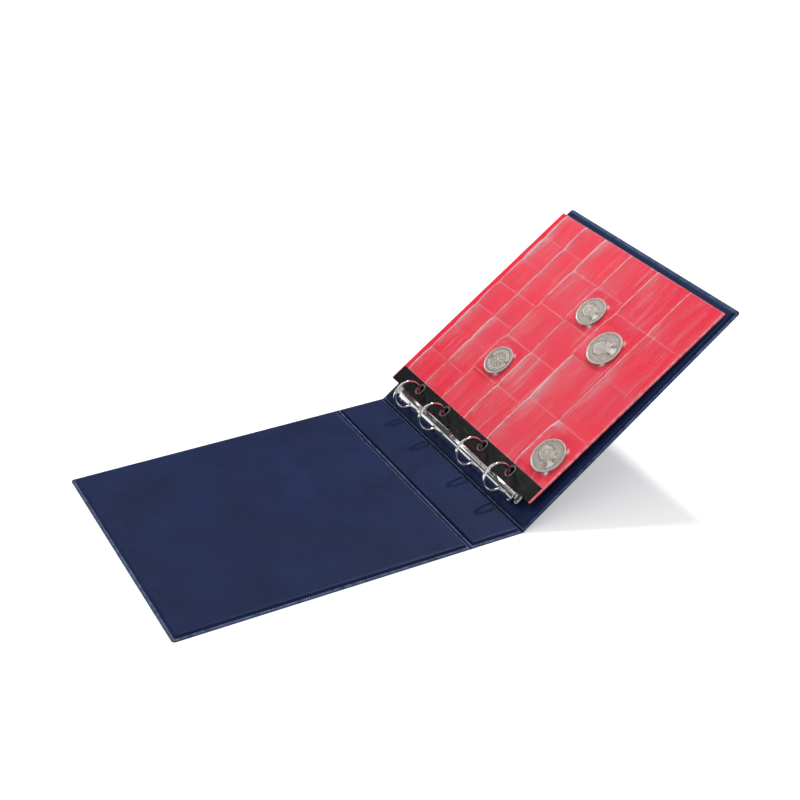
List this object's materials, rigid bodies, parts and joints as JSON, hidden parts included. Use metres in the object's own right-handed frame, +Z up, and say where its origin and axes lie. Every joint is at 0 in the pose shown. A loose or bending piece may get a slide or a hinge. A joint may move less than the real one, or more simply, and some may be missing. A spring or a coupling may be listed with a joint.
{
  "type": "coin album",
  "caption": "Ring-bound coin album lying open, with padded film covers, a lever ring mechanism on the raised back cover and punched leaves of clear coin pockets.",
  "frame": {"origin": "centre of the spine's outer face, which lies on the table", "axes": "+X across the spine towards the back cover, +Y along the spine towards the album's top edge, +Z up"},
  "size_m": [0.498, 0.245, 0.1514],
  "materials": {
    "cover_pvc": "fine leather grain, satin",
    "cover_lining": "fine grain, satin",
    "crease_weld": "welded film, smooth",
    "greyboard": "raw board",
    "gold_foil": "hot-stamped foil",
    "mechanism_chrome": "polished nickel plate",
    "plate_steel": "plated strip",
    "clear_film": "clear soft film",
    "red_paper": "matt coated paper",
    "black_strip": "smooth black film",
    "coin_silver": "worn struck metal"
  },
  "bodies": {
    "spine": {"spine_outer_skin": "cover_pvc", "spine_board": "greyboard", "spine_lining": "cover_lining", "spine_foil_ornament": "gold_foil", "front_crease_weld": "crease_weld", "back_crease_weld": "crease_weld"},
    "front_cover": {"front_cover_outer_skin": "cover_pvc", "front_cover_board": "greyboard", "front_cover_lining": "cover_lining"},
    "back_cover": {"back_cover_outer_skin": "cover_pvc", "back_cover_board": "greyboard", "back_cover_lining": "cover_lining", "ring_rail": "mechanism_chrome", "mechanism_rivets": "mechanism_chrome", "lever_pins": "mechanism_chrome"},
    "ring_set_left": {"toggle_plate_left": "plate_steel", "half_ring_left_1": "mechanism_chrome", "half_ring_left_2": "mechanism_chrome", "half_ring_left_3": "mechanism_chrome", "half_ring_left_4": "mechanism_chrome"},
    "ring_set_right": {"toggle_plate_right": "plate_steel", "half_ring_right_1": "mechanism_chrome", "half_ring_right_2": "mechanism_chrome", "half_ring_right_3": "mechanism_chrome", "half_ring_right_4": "mechanism_chrome"},
    "lever_bottom": {"release_lever_bottom": "mechanism_chrome"},
    "lever_top": {"release_lever_top": "mechanism_chrome"},
    "leaf_1": {"leaf_1_red_interleaf": "red_paper", "leaf_1_back_film": "clear_film", "leaf_1_binding_strip": "black_strip", "leaf_1_pocket_row_1": "clear_film", "leaf_1_pocket_row_2": "clear_film", "leaf_1_pocket_row_3": "clear_film", "leaf_1_pocket_row_4": "clear_film", "leaf_1_pocket_row_5": "clear_film", "leaf_1_pocket_row_6": "clear_film"},
    "leaf_2": {"leaf_2_red_interleaf": "red_paper", "leaf_2_back_film": "clear_film", "leaf_2_binding_strip": "black_strip", "leaf_2_pocket_row_1": "clear_film", "leaf_2_pocket_row_2": "clear_film", "leaf_2_pocket_row_3": "clear_film", "leaf_2_pocket_row_4": "clear_film", "leaf_2_pocket_row_5": "clear_film", "leaf_2_pocket_row_6": "clear_film"},
    "coin_1": {"coin_1": "coin_silver"},
    "coin_2": {"coin_2": "coin_silver"},
    "coin_3": {"coin_3": "coin_silver"},
    "coin_4": {"coin_4": "coin_silver"}
  },
  "joints": [
    {"name": "front_cover_hinge", "type": "hinge", "parent": "spine", "child": "front_cover", "pos_m": [-0.024, 0, 0.0005], "axis": [0, 1, 0], "range_deg": [0, 90]},
    {"name": "back_cover_hinge", "type": "hinge", "parent": "spine", "child": "back_cover", "pos_m": [0.024, 0, 0.0005], "axis": [0, -1, 0], "range_deg": [-37, 53]},
    {"name": "ring_left_open", "type": "hinge", "parent": "back_cover", "child": "ring_set_left", "pos_m": [0.03056, 0, 0.01057], "axis": [0, 1, 0], "range_deg": [-12, 0]},
    {"name": "ring_right_open", "type": "hinge", "parent": "back_cover", "child": "ring_set_right", "pos_m": [0.04046, 0, 0.01804], "axis": [0, 1, 0], "range_deg": [0, 12]},
    {"name": "lever_bottom_press", "type": "hinge", "parent": "back_cover", "child": "lever_bottom", "pos_m": [0.03473, -0.0895, 0.01534], "axis": [0.7986, 0, 0.6018], "range_deg": [0, 15]},
    {"name": "lever_top_press", "type": "hinge", "parent": "back_cover", "child": "lever_top", "pos_m": [0.03473, 0.0965, 0.01534], "axis": [-0.7986, 0, -0.6018], "range_deg": [0, 15]},
    {"name": "leaf_1_turn", "type": "hinge", "parent": "back_cover", "child": "leaf_1", "pos_m": [0.02726, 0, 0.02525], "axis": [0, 1, 0], "range_deg": [-151, 0]},
    {"name": "leaf_2_turn", "type": "hinge", "parent": "back_cover", "child": "leaf_2", "pos_m": [0.02726, 0, 0.02525], "axis": [0, 1, 0], "range_deg": [-151, 0]},
    {"name": "coin_1_slide", "type": "slide", "parent": "leaf_1", "child": "coin_1", "axis": [0, 1, 0], "range_m": [0, 0.024]},
    {"name": "coin_2_slide", "type": "slide", "parent": "leaf_1", "child": "coin_2", "axis": [0, 1, 0], "range_m": [0, 0.024]},
    {"name": "coin_3_slide", "type": "slide", "parent": "leaf_1", "child": "coin_3", "axis": [0, 1, 0], "range_m": [0, 0.0175]},
    {"name": "coin_4_slide", "type": "slide", "parent": "leaf_1", "child": "coin_4", "axis": [0, 1, 0], "range_m": [0, 0.026]}
  ],
  "couplings": [
    {"joint": "ring_right_open", "follows": "ring_left_open", "ratio": -1},
    {"joint": "lever_bottom_press", "follows": "ring_left_open", "ratio": -1.25},
    {"joint": "lever_top_press", "follows": "ring_left_open", "ratio": -1.25},
    {"joint": "leaf_2_turn", "follows": "leaf_1_turn", "ratio": 0.95}
  ]
}
